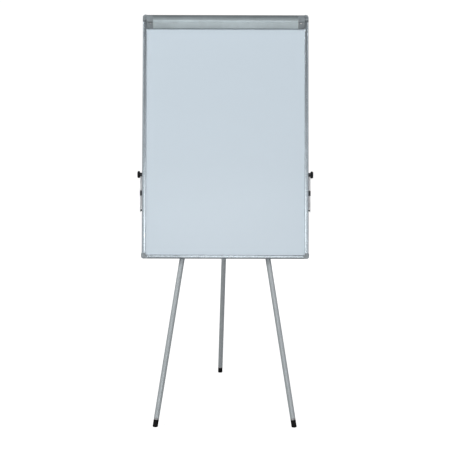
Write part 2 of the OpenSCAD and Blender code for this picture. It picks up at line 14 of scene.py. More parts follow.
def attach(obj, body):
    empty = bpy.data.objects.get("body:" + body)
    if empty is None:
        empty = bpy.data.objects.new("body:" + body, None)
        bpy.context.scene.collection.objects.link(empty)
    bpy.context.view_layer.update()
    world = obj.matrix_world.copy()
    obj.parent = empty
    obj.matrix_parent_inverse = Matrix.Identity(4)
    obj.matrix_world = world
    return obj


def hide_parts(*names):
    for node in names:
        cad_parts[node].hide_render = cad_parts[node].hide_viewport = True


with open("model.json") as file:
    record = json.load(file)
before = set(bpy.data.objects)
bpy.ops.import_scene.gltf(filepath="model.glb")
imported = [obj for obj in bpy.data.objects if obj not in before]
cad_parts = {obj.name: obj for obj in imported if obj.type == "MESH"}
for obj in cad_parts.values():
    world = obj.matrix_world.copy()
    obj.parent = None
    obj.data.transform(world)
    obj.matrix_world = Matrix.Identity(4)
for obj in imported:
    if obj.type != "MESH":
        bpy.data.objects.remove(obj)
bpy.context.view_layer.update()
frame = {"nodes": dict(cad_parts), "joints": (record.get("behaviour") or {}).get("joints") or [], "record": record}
JOINTS = {j["name"]: j for j in frame["joints"]}
BODY_OF = {n: b for b, ns in frame["record"]["behaviour"]["bodies"].items() for n in ns}
SLOT_OF = {s["node"]: s["material_slot"] for s in frame["record"]["subparts"]}
MM = 0.001
SIDES = {"left": -1, "right": 1}


# ---- frames of reference ----

def joint_axis(name):
    """Direction of a CAD joint's axis in the room."""
    return Vector(JOINTS[name]["axis"]).normalized()


def basis(x, y, z, origin):
    """Matrix that takes millimetres along x, y, z from origin to metres in the room."""
    turn = Matrix((x, y, z)).transposed().to_4x4()
    return Matrix.Translation(origin) @ turn @ Matrix.Scale(MM, 4)


def local_box(node, matrix):
    """Lowest and highest corner of a CAD node, in the given frame's millimetres."""
    back = matrix.inverted()
    points = [back @ v.co for v in frame["nodes"][node].data.vertices]
    low = Vector([min(p[i] for p in points) for i in range(3)])
    high = Vector([max(p[i] for p in points) for i in range(3)])
    return low, high


ACROSS = Vector((1, 0, 0))
BOARD_BACK = joint_axis("right_leg_splay")
BOARD_UP = ACROSS.cross(BOARD_BACK)
board_probe = basis(ACROSS, BOARD_BACK, BOARD_UP, Vector((0, 0, 0)))
rail_low = local_box("bottom_rail", board_probe)[0]
BOARD = board_probe @ Matrix.Translation((0, rail_low.y, rail_low.z))


def leg_frame(leg):
    """Origin at the leg's pivot, +Z up the leg, +Y to its rear side."""
    up = -joint_axis(f"{leg}_leg_extend")
    back = joint_axis(f"{leg}_leg_lock")
    pivot = f"{leg}_leg_splay" if leg in SIDES else "rear_leg_fold"
    return basis(back.cross(up), back, up, Vector(JOINTS[pivot]["pos_m"]))


LEGS = {leg: leg_frame(leg) for leg in ("left", "right", "rear")}
TO_BOARD = BOARD.inverted()
hinge_x = -joint_axis("rear_leg_fold")
REAR_HINGE = basis(hinge_x, BOARD_BACK, hinge_x.cross(BOARD_BACK),
                   Vector(JOINTS["rear_leg_fold"]["pos_m"]))


def flipped(sign):
    """Mirrors a shape to the other side for a sign of -1."""
    return Matrix.Diagonal((sign, 1, 1, 1))


def mirrored(side):
    """Board frame for a piece drawn on the right side, or its mirror image."""
    return BOARD @ flipped(SIDES[side])


# ---- mesh building ----

SHARP_ANGLE = math.radians(32)


def arc(cx, cy, r, start, end, steps):
    """Points on a circle, from one angle to another, in degrees."""
    angles = [math.radians(start + (end - start) * i / steps) for i in range(steps + 1)]
    return [(cx + r * math.cos(a), cy + r * math.sin(a)) for a in angles]


def extrusion(outline, start, end, place):
    """Solid from a closed outline; place(u, v, w) puts a point at depth w."""
    bm = bmesh.new()
    rings = [[bm.verts.new(place(u, v, w)) for u, v in outline] for w in (start, end)]
    count = len(outline)
    for i in range(count):
        j = (i + 1) % count
        bm.faces.new((rings[0][i], rings[0][j], rings[1][j], rings[1][i]))
    caps = [bm.faces.new(rings[0][::-1]), bm.faces.new(rings[1])]
    bmesh.ops.triangulate(bm, faces=caps, ngon_method="EAR_CLIP")
    return bm


def along_x(u, v, w):
    return (w, u, v)


def along_y(u, v, w):
    return (u, w, v)


def along_z(u, v, w):
    return (u, v, w)


def lathe(profile, segments=64, closed=False, flutes=0, depth=0.0):
    """Solid of revolution round Z from (radius, height) points, lowest first.

    A third number in a point is its share, from 0 to 1, of the flutes' depth.
    """
    bm = bmesh.new()
    turn = [2 * math.pi * i / segments for i in range(segments)]
    rings = []
    for r, z, *share in profile:
        if r < 1e-6:
            rings.append([bm.verts.new((0, 0, z))])
            continue
        cuts = [depth * sum(share) * (0.5 + 0.5 * math.cos(flutes * a)) ** 3 for a in turn]
        rings.append([bm.verts.new(((r - c) * math.cos(a), (r - c) * math.sin(a), z))
                      for a, c in zip(turn, cuts)])
    pairs = list(zip(rings, rings[1:]))
    if closed:
        pairs.append((rings[-1], rings[0]))
    for a, b in pairs:
        for i in range(segments):
            j = (i + 1) % segments
            loop = [a[i % len(a)], a[j % len(a)], b[j % len(b)], b[i % len(b)]]
            unique = list(dict.fromkeys(loop))
            if len(unique) > 2:
                bm.faces.new(unique)
    return bm


def cylinder(radius, low, high, segments=64):
    """Closed cylinder round Z between two heights."""
    return lathe([(0, low), (radius, low), (radius, high), (0, high)], segments)


def rounded_box(low, high, radius, steps=3):
    """Box between two corners with every edge rounded."""
    bm = bmesh.new()
    bmesh.ops.create_cube(bm, size=1)
    low, high = Vector(low), Vector(high)
    size = high - low
    for v in bm.verts:
        v.co = Vector([low[i] + size[i] * (v.co[i] + 0.5) for i in range(3)])
    bmesh.ops.bevel(bm, geom=bm.edges[:], offset=radius, segments=steps, profile=0.5,
                    affect="EDGES")
    return bm


def soften(bm, width, steps=2, angle=35):
    """Rounds every edge that is sharper than the angle."""
    bmesh.ops.recalc_face_normals(bm, faces=bm.faces)
    sharp = [e for e in bm.edges if len(e.link_faces) == 2
             and e.calc_face_angle(0) > math.radians(angle)]
    bmesh.ops.bevel(bm, geom=sharp, offset=width, segments=steps, profile=0.5,
                    affect="EDGES", clamp_overlap=True)
    return bm


def moved(bm, matrix):
    """The same bmesh, put somewhere else."""
    bmesh.ops.transform(bm, matrix=matrix, verts=bm.verts)
    return bm


def shift(x, y, z):
    return Matrix.Translation((x, y, z))


TO_X = Matrix.Rotation(math.radians(90), 4, "Y")
TO_Y = Matrix.Rotation(math.radians(-90), 4, "X")


def merged(*parts):
    """One bmesh that holds several."""
    whole = bmesh.new()
    for part in parts:
        scratch = bpy.data.meshes.new("scratch")
        part.to_mesh(scratch)
        part.free()
        whole.from_mesh(scratch)
        bpy.data.meshes.remove(scratch)
    return whole


def smooth(mesh):
    """Smooth shading, apart from sharp edges."""
    mesh.shade_smooth()
    mesh.set_sharp_from_angle(angle=SHARP_ANGLE)


def object_from(bm, name, matrix):
    """Object of a shape drawn in the matrix's frame; it uses up the bmesh."""
    bmesh.ops.transform(bm, matrix=matrix, verts=bm.verts)
    bmesh.ops.recalc_face_normals(bm, faces=bm.faces)
    mesh = bpy.data.meshes.new(name)
    bm.to_mesh(mesh)
    bm.free()
    smooth(mesh)
    obj = bpy.data.objects.new(name, mesh)
    bpy.context.scene.collection.objects.link(obj)
    return obj


def combine(obj, tools, operation):
    """Joins closed shapes to a piece, or cuts them out of it."""
    for tool in tools:
        modifier = obj.modifiers.new("combine", "BOOLEAN")
        modifier.operation = operation
        modifier.solver = "EXACT"
        modifier.object = tool
        shape = bpy.data.meshes.new_from_object(
            obj.evaluated_get(bpy.context.evaluated_depsgraph_get()))
        obj.modifiers.clear()
        old = obj.data
        obj.data = shape
        bpy.data.meshes.remove(old)
        bpy.data.objects.remove(tool)


def piece(bm, node, matrix, joins=(), cutters=(), finish=None):
    """A finished piece that stands for a CAD node and rides on its body."""
    obj = object_from(bm, f"{node}_shape", matrix)
    combine(obj, [object_from(j, "tool", matrix) for j in joins], "UNION")
    combine(obj, [object_from(c, "tool", matrix) for c in cutters], "DIFFERENCE")
    smooth(obj.data)
    obj.data.materials.clear()
    obj.data.materials.append(finish or MATERIALS[SLOT_OF[node]])
    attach(obj, BODY_OF[node])
    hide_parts(node)
    return obj


# ---- materials ----

class Shader:
    """A node material with a few helpers for building its pattern."""

    def __init__(self, name):
        self.material = bpy.data.materials.new(name)
        self.material.use_nodes = True
        self.tree = self.material.node_tree
        self.bsdf = self.tree.nodes["Principled BSDF"]

    def node(self, kind, **settings):
        """A new node; a setting is a property of it or one of its sockets."""
        made = self.tree.nodes.new(kind)
        for key, value in settings.items():
            if hasattr(made, key):
                setattr(made, key, value)
            else:
                made.inputs[key.replace("_", " ")].default_value = value
        return made

    def link(self, output, target):
        self.tree.links.new(output, target)

    def fixed(self, **values):
        """Constants on the shader's own sockets, with spaces as underscores."""
        for key, value in values.items():
            self.bsdf.inputs[key.replace("_", " ")].default_value = value

    def place(self, stretch=(1, 1, 1), turn=None):
        """Object coordinates turned into a frame and stretched along its axes."""
        coordinates = self.node("ShaderNodeTexCoord").outputs["Object"]
        if turn is not None:
            into_frame = turn.to_3x3().normalized().inverted()
            aligned = self.node("ShaderNodeMapping", vector_type="POINT",
                                Rotation=into_frame.to_euler())
            self.link(coordinates, aligned.inputs["Vector"])
            coordinates = aligned.outputs["Vector"]
        sized = self.node("ShaderNodeMapping", vector_type="POINT", Scale=stretch)
        self.link(coordinates, sized.inputs["Vector"])
        return sized.outputs["Vector"]

    def noise(self, vector, scale=1.0, detail=2.0, roughness=0.5):
        made = self.node("ShaderNodeTexNoise", Scale=scale, Detail=detail, Roughness=roughness)
        self.link(vector, made.inputs["Vector"])
        return made.outputs["Fac"]

    def spread(self, value, low, high, start=0.3, end=0.7):
        """Maps a pattern from start..end to low..high."""
        made = self.node("ShaderNodeMapRange", From_Min=start, From_Max=end,
                         To_Min=low, To_Max=high)
        self.link(value, made.inputs["Value"])
        return made.outputs["Result"]

    def between(self, factor, dark, light):
        """Blends two plain colours."""
        made = self.node("ShaderNodeMix", data_type="RGBA")
        made.inputs[6].default_value = (*dark, 1)
        made.inputs[7].default_value = (*light, 1)
        self.link(factor, made.inputs[0])
        return made.outputs[2]

    def mixed(self, factor, first, second_colour):
        """Blends a pattern's colour with a plain one."""
        made = self.node("ShaderNodeMix", data_type="RGBA")
        made.inputs[7].default_value = (*second_colour, 1)
        self.link(first, made.inputs[6])
        self.link(factor, made.inputs[0])
        return made.outputs[2]

    def bump(self, height, strength, distance):
        made = self.node("ShaderNodeBump", Strength=strength, Distance=distance)
        self.link(height, made.inputs["Height"])
        self.link(made.outputs["Normal"], self.bsdf.inputs["Normal"])

    def colour(self, output):
        self.link(output, self.bsdf.inputs["Base Color"])

    def roughness(self, output):
        self.link(output, self.bsdf.inputs["Roughness"])


def extruded_metal(name, colour, along, rough=0.28):
    """Satin anodised extrusion: die lines along its length, a little cloudiness."""
    s = Shader(name)
    s.fixed(Metallic=1.0)
    stretch = {"x": (4, 1500, 1500), "z": (1500, 1500, 4)}[along]
    lines = s.noise(s.place(stretch, BOARD), 1.0, 3.0)
    clouds = s.noise(s.place((14, 14, 14)), 1.0, 3.0)
    dark = [c * 0.9 for c in colour]
    light = [min(1.0, c * 1.07) for c in colour]
    s.colour(s.between(s.spread(clouds, 0.0, 1.0), dark, light))
    s.roughness(s.spread(lines, rough - 0.06, rough + 0.09))
    s.bump(lines, 0.12, 0.0002)
    return s.material


def coated_metal(name, colour, rough, metallic=0.0, flake=0.04):
    """Sprayed or powder coat: fine orange peel, small flakes, faint soiling."""
    s = Shader(name)
    s.fixed(Metallic=metallic)
    grain = s.noise(s.place(), 2600.0, 1.0)
    peel = s.noise(s.place(), 700.0, 2.0)
    soil = s.noise(s.place(), 9.0, 5.0, 0.6)
    dark = [c * (1 - flake * 3) for c in colour]
    light = [min(1.0, c * (1 + flake * 3)) for c in colour]
    base = s.between(s.spread(grain, 0.0, 1.0), dark, light)
    s.colour(s.mixed(s.spread(soil, 0.0, 0.16, 0.55, 0.8), base, [c * 0.62 for c in colour]))
    s.roughness(s.spread(soil, rough - 0.05, rough + 0.12))
    s.bump(peel, 0.18, 0.0002)
    return s.material


def moulded_plastic(name, colour, rough=0.52, shine=0.3):
    """Spark-eroded moulding grain, with slightly shinier handled patches."""
    s = Shader(name)
    s.fixed(Specular_IOR_Level=shine)
    grain = s.noise(s.place(), 1900.0, 2.0)
    patches = s.noise(s.place(), 45.0, 4.0)
    dark = [c * 0.86 for c in colour]
    light = [c * 1.12 for c in colour]
    s.colour(s.between(s.spread(patches, 0.0, 1.0), dark, light))
    s.roughness(s.spread(patches, rough + 0.08, rough - 0.1))
    s.bump(grain, 0.25, 0.0003)
    return s.material


def moulded_rubber(name, colour):
    """Dull rubber with a dusty bloom and a coarse moulded skin."""
    s = Shader(name)
    s.fixed(Specular_IOR_Level=0.2)
    skin = s.noise(s.place(), 900.0, 3.0)
    dust = s.noise(s.place(), 60.0, 6.0, 0.65)
    dusty = [c * 1.5 + 0.001 for c in colour]
    s.colour(s.between(s.spread(dust, 0.0, 1.0, 0.4, 0.75), colour, dusty))
    s.roughness(s.spread(dust, 0.62, 0.86))
    s.bump(skin, 0.35, 0.0004)
    return s.material


def bright_metal(name, colour, rough=0.24):
    """Zinc plated steel: fine turning marks and small dull spots."""
    s = Shader(name)
    s.fixed(Metallic=1.0)
    marks = s.noise(s.place((1200, 1200, 1200)), 1.0, 2.0)
    spots = s.noise(s.place(), 160.0, 4.0)
    s.colour(s.between(s.spread(spots, 0.0, 1.0), [c * 0.84 for c in colour], colour))
    s.roughness(s.spread(spots, rough + 0.14, rough - 0.04))
    s.bump(marks, 0.1, 0.0002)
    return s.material


def dry_wipe_enamel(name, colour):
    """Glossy coated steel: faint wiping haze, ghosted strokes and a slight ripple."""
    s = Shader(name)
    s.fixed(Coat_Weight=0.35, Coat_Roughness=0.2)
    haze = s.noise(s.place((1.6, 5, 5), BOARD), 1.0, 4.0, 0.6)
    strokes = s.noise(s.place((7, 60, 60), BOARD), 1.0, 3.0, 0.6)
    ripple = s.noise(s.place(), 420.0, 1.0)
    base = s.between(s.spread(haze, 0.0, 1.0), [c * 0.985 for c in colour], colour)
    s.colour(s.mixed(s.spread(strokes, 0.0, 0.05, 0.6, 0.85), base, [c * 0.88 for c in colour]))
    s.roughness(s.spread(strokes, 0.3, 0.38))
    s.bump(ripple, 0.03, 0.0001)
    return s.material


def galvanised(name, colour):
    """Zinc sheet: a spangle of large flat crystals, each with its own shade."""
    s = Shader(name)
    s.fixed(Metallic=0.85)
    crystals = s.node("ShaderNodeTexVoronoi", Scale=130.0)
    s.link(s.place(), crystals.inputs["Vector"])
    split = s.node("ShaderNodeSeparateColor")
    s.link(crystals.outputs["Color"], split.inputs["Color"])
    shade = split.outputs["Red"]
    s.colour(s.between(shade, [c * 0.9 for c in colour], [c * 1.05 for c in colour]))
    s.roughness(s.spread(shade, 0.4, 0.5, 0.0, 1.0))
    s.bump(s.noise(s.place(), 300.0, 3.0), 0.08, 0.0003)
    return s.material


def fibre_board(name, colour):
    """Pressed fibres that run up the board."""
    s = Shader(name)
    fibres = s.noise(s.place((260, 1400, 90), BOARD), 1.0, 5.0)
    s.colour(s.between(s.spread(fibres, 0.0, 1.0), [c * 0.7 for c in colour], colour))
    s.roughness(s.spread(fibres, 0.75, 0.95))
    s.bump(fibres, 0.4, 0.0004)
    return s.material


FRAME_COLOUR = (0.46, 0.515, 0.55)
CROSS_RAIL_FINISH = extruded_metal("anodised_cross_rail", FRAME_COLOUR, "x", 0.17)
MATERIALS = {
    "enamel_white": dry_wipe_enamel("dry_wipe_enamel", (0.68, 0.78, 0.855)),
    "board_core": fibre_board("fibre_board", (0.50, 0.36, 0.22)),
    "zinc_sheet": galvanised("galvanised_sheet", (0.52, 0.54, 0.56)),
    "frame_aluminium": extruded_metal("anodised_frame", FRAME_COLOUR, "z", 0.17),
    "clamp_aluminium": extruded_metal("anodised_clamp", (0.70, 0.79, 0.82), "x", 0.44),
    "grey_plastic": moulded_plastic("grey_moulding", (0.27, 0.305, 0.325), 0.36, 0.8),
    "bright_steel": bright_metal("zinc_plated_steel", (0.70, 0.70, 0.70)),
    "spring_steel": bright_metal("oiled_spring_steel", (0.28, 0.27, 0.26), 0.3),
    "black_rubber": moulded_rubber("black_rubber", (0.004, 0.004, 0.0045)),
    "black_plastic": moulded_plastic("black_moulding", (0.004, 0.004, 0.0045), 0.46),
    "dark_plastic": moulded_plastic("dark_grey_moulding", (0.07, 0.072, 0.076)),
    "dark_steel": coated_metal("charcoal_powder_coat", (0.055, 0.057, 0.06), 0.5),
    "white_nylon": moulded_plastic("nylon", (0.66, 0.65, 0.60), 0.45),
    "leg_silver": coated_metal("silver_leg_coat", (0.49, 0.53, 0.545), 0.38, 0.45),
    "inner_silver": bright_metal("plated_inner_tube", (0.62, 0.62, 0.63), 0.3),
    "light_plastic": moulded_plastic("light_grey_moulding", (0.33, 0.33, 0.34)),
    "arm_aluminium": extruded_metal("arm_strip", (0.66, 0.67, 0.68), "z", 0.36),
}


def dress_cad_nodes():
    """Gives every CAD node its procedural material; hidden ones are replaced later."""
    for name, obj in frame["nodes"].items():
        obj.data.materials.clear()
        obj.data.materials.append(MATERIALS[SLOT_OF[name]])


dress_cad_nodes()


# ---- the board and its frame ----

SHEET_FRONT = 3.2
SHEET_BACK = 12.2
SLOT_FRONT = SHEET_FRONT - 0.2
SLOT_BACK = SHEET_BACK + 0.2
SLOT_DEPTH = 7
TOP_RAIL_LIP = 8
ROD_HOLE_R = 4
HINGE_Y = -5
HINGE_Z = 1008
RAIL_OUTER = [(0, 5.4), (0.25, 4.2), (0.9, 3.2), (1.9, 2.4), (5.6, 0.6)]
RAIL_GROOVE = [(5.9, 1.9), (8.3, 1.9), (8.5, 0.4), (8.8, 0.05), (9.3, 0.0)]
RAIL_INNER = [(14.4, 0.0), (15.2, 0.2), (15.8, 0.7), (16, 1.5)]


def rail_outline(width, depth):
    """Frame section: crowned face with a shadow groove, and a channel for the panel."""
    return (RAIL_OUTER + RAIL_GROOVE + RAIL_INNER
            + [(width, SLOT_FRONT), (SLOT_DEPTH, SLOT_FRONT), (SLOT_DEPTH, SLOT_BACK),
               (width - 0.4, SLOT_BACK), (width, SLOT_BACK + 0.4)]
            + arc(width - 1.5, depth - 1.5, 1.5, 0, 90, 5)
            + arc(3, depth - 3, 3, 90, 180, 6))


def add_rails():
    """Side and bottom rails of one section, and a top rail set back behind the clamp."""
    low, high = local_box("side_rail_right", BOARD)
    width, depth = high.x - low.x, high.y
    for side in SIDES:
        rod = local_box(f"{side}_arm_rod", mirrored(side))
        rod_y = (rod[0].y + rod[1].y) / 2
        rod_z = (rod[0].z + rod[1].z) / 2
        rod_hole = moved(cylinder(ROD_HOLE_R, low.x - 9, high.x + 9),
                         shift(0, rod_y, rod_z) @ TO_X)
        rail = extrusion(rail_outline(width, depth), low.z, high.z,
                         lambda u, v, w: (high.x - u, v, w))
        piece(rail, f"side_rail_{side}", mirrored(side), cutters=[rod_hole])
    low, high = local_box("bottom_rail", BOARD)
    rail = extrusion(rail_outline(width, depth), low.x, high.x, lambda u, v, w: (w, v, u))
    piece(rail, "bottom_rail", BOARD, finish=CROSS_RAIL_FINISH)
    low, high = local_box("top_rail", BOARD)
    floor_z = low.z + TOP_RAIL_LIP
    outline = (arc(low.y + 1.2, high.z - 1.2, 1.2, 180, 90, 4)
               + arc(high.y - 3, high.z - 3, 3, 90, 0, 6)
               + arc(high.y - 1.5, floor_z + 1.5, 1.5, 0, -90, 4)
               + [(SLOT_BACK + 1.5, floor_z), (SLOT_BACK + 1.5, low.z), (SLOT_BACK, low.z),
                  (SLOT_BACK, floor_z), (low.y + 0.8, floor_z), (low.y, floor_z + 0.8)])
    piece(extrusion(outline, low.x, high.x, along_x), "top_rail", BOARD,
          finish=CROSS_RAIL_FINISH)


LUG_R = 6.5
HINGE_PIN_R = 2.52
TOP_CORNER_R = 12
BOTTOM_CORNER_R = 10
BOTTOM_CORNER_SIZE = 24


def add_corners():
    """Moulded corners; the top ones carry the lugs of the clamp's hinge."""
    for side in SIDES:
        node = f"top_corner_{side}"
        high = local_box(node, mirrored(side))[1]
        face = local_box(f"side_rail_{side}", mirrored(side))
        z0 = face[1].z
        block = ([(face[0].x, z0), (face[1].x, z0)]
                 + arc(face[1].x - TOP_CORNER_R, high.z - TOP_CORNER_R, TOP_CORNER_R, 0, 90, 12)
                 + [(face[0].x, high.z)])
        block = soften(extrusion(block, 0, high.y, along_y), 1.0, 3)
        lug = (arc(HINGE_Y, HINGE_Z, LUG_R, 90, 270, 14)
               + [(2, HINGE_Z - LUG_R), (2, HINGE_Z + LUG_R)])
        lug = soften(extrusion(lug, face[0].x, face[1].x - 1, along_x), 0.8, 3)
        slot = rounded_box((face[0].x - 5, SLOT_FRONT, z0 - 5),
                           (face[1].x - SLOT_DEPTH, SLOT_BACK, z0 + 12.2), 0.2, 1)
        pin = moved(cylinder(HINGE_PIN_R, -9, 12, 32),
                    shift(face[0].x, HINGE_Y, HINGE_Z) @ TO_X)
        piece(block, node, mirrored(side), joins=[lug], cutters=[slot, pin])

        node = f"bottom_corner_{side}"
        edge = local_box(node, mirrored(side))[1].x
        inner = edge - BOTTOM_CORNER_SIZE
        turn = edge - BOTTOM_CORNER_R
        outline = ([(inner, 0), (turn, 0)]
                   + arc(turn, BOTTOM_CORNER_R, BOTTOM_CORNER_R, -90, 0, 12)[1:]
                   + arc(edge - 3, BOTTOM_CORNER_SIZE - 3, 3, 0, 90, 5)
                   + [(inner, BOTTOM_CORNER_SIZE)])
        block = soften(extrusion(outline, -1, face[1].y, along_y), 0.9, 3)
        window = rounded_box((inner - 5, -4, 16.2), (face[0].x - 0.2, SHEET_FRONT, 30), 0.3, 1)
        slot = rounded_box((inner - 5, SLOT_FRONT, SLOT_DEPTH),
                           (face[1].x - SLOT_DEPTH, SLOT_BACK, 30), 0.2, 1)
        piece(block, node, mirrored(side), cutters=[window, slot])


# ---- the pad clamp ----

GROOVE_Z = 997
BULGE_R = 42.7
BULGE_Y = -16 + BULGE_R
# Lower edge of the bulge, rounded off towards the groove: depth, height above the groove
BULGE_EDGE = [(-15.75, 4.6), (-15.72, 4.2), (-15.6, 3.2), (-15.43, 2.2), (-15.22, 1.2),
              (-15, 0.4), (-14.5, 0)]
CLAMP_WALL = 1.8
LIP_BACK_Y = -0.6
LIP_HEIGHT = 5.5


def bulge_arc(radius, top, start=0, steps=24):
    """Front of the clamp's bulge, from a height above its groove up to the given height."""
    first, last = (math.degrees(math.asin(z / radius)) for z in (start, top - GROOVE_Z))
    return arc(BULGE_Y, GROOVE_Z, radius, 180 - first, 180 - last, steps)


def add_clamp_bar():
    """Bulging extrusion with a shadow groove and a lip that bears on the paper."""
    low, high = local_box("clamp_bar", BOARD)
    outer = ([(y, GROOVE_Z + z) for y, z in BULGE_EDGE[::-1]]
             + bulge_arc(BULGE_R, high.z - 0.9, start=5.2))
    inner = bulge_arc(BULGE_R - CLAMP_WALL, high.z - 0.9)[::-1]
    nose = ((outer[-1][0] + inner[0][0]) / 2, high.z)
    shade = [(-13.9, GROOVE_Z - 2.2), (-13.9, GROOVE_Z - 0.4)]
    lip_back = [(-0.9, low.z), (LIP_BACK_Y, low.z + 0.3), (LIP_BACK_Y, low.z + LIP_HEIGHT),
                (-1.8, low.z + LIP_HEIGHT), (-2.2, low.z + 5.7), (-13.1, GROOVE_Z - 3)]
    lip_front = [(-15.6, GROOVE_Z - 3.4), (-15.2, GROOVE_Z - 4.4), (-4.3, low.z + 1.3),
                 (-3.7, low.z + 0.4), (-2.9, low.z)]
    lip_root = [(-14.3, GROOVE_Z - 2.6), (-15.3, GROOVE_Z - 2.8)]
    outline = (outer[::-1] + shade[::-1] + lip_root + lip_front + lip_back + inner[::-1]
               + [(inner[0][0] - 0.1, high.z - 0.3), nose])
    piece(extrusion(outline, low.x, high.x, along_x), "clamp_bar", BOARD)


CAP_BORE_R = 2.6
CAP_SCREW_HOLE_R = 1.55
CAP_SCREW_INSET = 16
CAP_SCREW_DROP = 6.5
POCKET_FLOOR_Y = -11.5
POCKET_HALF = 3.5


def add_clamp_caps():
    """End caps of the clamp, each with a screw sunk in a pocket."""
    low, high = local_box("clamp_caps", BOARD)
    bar_x = local_box("clamp_bar", BOARD)[1].x
    screw_x, screw_z = high.x - CAP_SCREW_INSET, GROOVE_Z - CAP_SCREW_DROP
    caps, cutters = [], []
    for sign in (-1, 1):
        outline = (bulge_arc(BULGE_R + 0.4, high.z)[::-1]
                   + [(-14.8, GROOVE_Z - 0.6), (-14.8, GROOVE_Z - 2.6), (-15.7, GROOVE_Z - 3.2),
                      (-15.3, GROOVE_Z - 4.2), (-4.1, low.z + 0.9), (-3.2, low.z),
                      (LIP_BACK_Y, low.z), (LIP_BACK_Y, low.z + LIP_HEIGHT), (-1.0, low.z + 6),
                      (-1.0, high.z)])
        cap = soften(extrusion(outline, bar_x, high.x, along_x), 0.9, 3, 30)
        caps.append(moved(cap, flipped(sign)))
        pocket = rounded_box((high.x - 26, -22, screw_z - POCKET_HALF),
                             (high.x - 5, POCKET_FLOOR_Y, screw_z + POCKET_HALF), 1.4, 3)
        pin = moved(cylinder(CAP_BORE_R, 0, 30, 32), shift(bar_x - 1, HINGE_Y, HINGE_Z) @ TO_X)
        mouth = rounded_box((bar_x - 1, HINGE_Y - 0.2, HINGE_Z),
                            (high.x - 3, 4, high.z + 4), 0.3, 1)
        hole = moved(cylinder(CAP_SCREW_HOLE_R, -8, 8, 24),
                     shift(screw_x, POCKET_FLOOR_Y, screw_z) @ TO_Y)
        cutters += [moved(c, flipped(sign)) for c in (pocket, pin, mouth, hole)]
    piece(merged(*caps), "clamp_caps", BOARD, cutters=cutters)

    screws, slots = [], []
    for sign in (-1, 1):
        place = shift(sign * screw_x, POCKET_FLOOR_Y, screw_z) @ TO_Y.inverted()
        screws.append(moved(lathe(pan_head(3, 1.8, 1.5, 7.5), 40), place))
        slots += [moved(c, place) for c in cross_recess(1.8, 3, 1.2)]
    piece(merged(*screws), "cap_screws", BOARD, cutters=slots)


def add_grip_strip():
    """Soft strip with small ribs towards the paper."""
    low, high = local_box("clamp_grip_strip", BOARD)
    ribs = []
    for i in range(4):
        z = high.z - 0.5 - i * (high.z - low.z - 1) / 3
        ribs += [(high.y - 0.7, z + 0.35), (high.y, z), (high.y - 0.7, z - 0.35)]
    outline = [(low.y, low.z), (low.y, high.z)] + ribs[:-1] + [(high.y - 0.5, low.z)]
    piece(extrusion(outline, low.x, high.x, along_x), "clamp_grip_strip", BOARD)


COIL_R = 3.8
COIL_TURNS = 5
COIL_PITCH = 2.6
COIL_FIRST = -20
COIL_LAST = COIL_TURNS * 360 + 200
COIL_STEPS = 24 * COIL_TURNS
SPRING_WIRE_R = 0.7
SPRING_LEG = 9.4


def add_springs():
    """Torsion springs round the hinge pins, each with two straight legs."""
    high = local_box("clamp_springs", BOARD)[1]
    start_x = high.x - 0.8 - COIL_PITCH * (COIL_LAST - COIL_FIRST) / 360
    path = []
    for i in range(COIL_STEPS + 1):
        turned = (COIL_LAST - COIL_FIRST) * i / COIL_STEPS
        a = math.radians(COIL_FIRST + turned)
        path.append(Vector((start_x + COIL_PITCH * turned / 360,
                            HINGE_Y + COIL_R * math.cos(a), HINGE_Z + COIL_R * math.sin(a))))
    for end, a, reach in ((0, COIL_FIRST, -SPRING_LEG), (len(path), COIL_LAST, SPRING_LEG)):
        tangent = Vector((0, -math.sin(math.radians(a)), math.cos(math.radians(a))))
        corner = path[0] if end == 0 else path[-1]
        path.insert(end, corner + tangent * reach)
    springs = [moved(wire_tube(path, SPRING_WIRE_R), flipped(sign)) for sign in (-1, 1)]
    piece(merged(*springs), "clamp_springs", BOARD)


def wire_tube(path, radius, sides=10):
    """Round wire along a list of points, with flat ends."""
    bm = bmesh.new()
    rings = []
    count = len(path)
    normal = Vector((1, 0, 0))
    for i, point in enumerate(path):
        tangent = (path[min(i + 1, count - 1)] - path[max(i - 1, 0)]).normalized()
        normal = (normal - tangent * normal.dot(tangent)).normalized()
        across = tangent.cross(normal)
        turns = [2 * math.pi * k / sides for k in range(sides)]
        rings.append([bm.verts.new(point + radius * (math.cos(t) * normal + math.sin(t) * across))
                      for t in turns])
    for a, b in zip(rings, rings[1:]):
        for k in range(sides):
            j = (k + 1) % sides
            bm.faces.new((a[k], a[j], b[j], b[k]))
    bm.faces.new(rings[0][::-1])
    bm.faces.new(rings[-1])
    return bm


# ---- fasteners ----

def pan_head(r, h, shank, length):
    """Screw profile: shank below zero, domed head above it."""
    dome = [(r, h * 0.25), (r * 0.97, h * 0.5), (r * 0.85, h * 0.75), (r * 0.6, h * 0.93), (0, h)]
    return [(0, -length), (shank, -length + shank * 0.4), (shank, 0), (r * 0.96, 0)] + dome


def cross_recess(size, head, depth):
    """Two crossed slots that cut a driver recess into a head of the given height."""
    return [rounded_box((-a, -b, head * 0.6 - depth), (a, b, head * 2), 0.12, 1)
            for a, b in ((size, size * 0.24), (size * 0.24, size))]


def hex_recess(size, top, depth):
    """Hexagonal socket, cut down from the top."""
    return extrusion(arc(0, 0, size, 0, 300, 5), top - depth, top + 5, along_z)


# ---- the tripod head and the leg guide ----

def rounded_plate(low, high, radius, soft=0.6):
    """Plate in X and Z with rounded corners, its thickness along Y."""
    corners = [(low[0] + radius, low[2] + radius, 180), (high[0] - radius, low[2] + radius, 270),
               (high[0] - radius, high[2] - radius, 0), (low[0] + radius, high[2] - radius, 90)]
    outline = []
    for x, z, start in corners:
        outline += arc(x, z, radius, start, start + 90, 6)
    return soften(extrusion(outline, low[1], high[1], along_y), soft, 2)


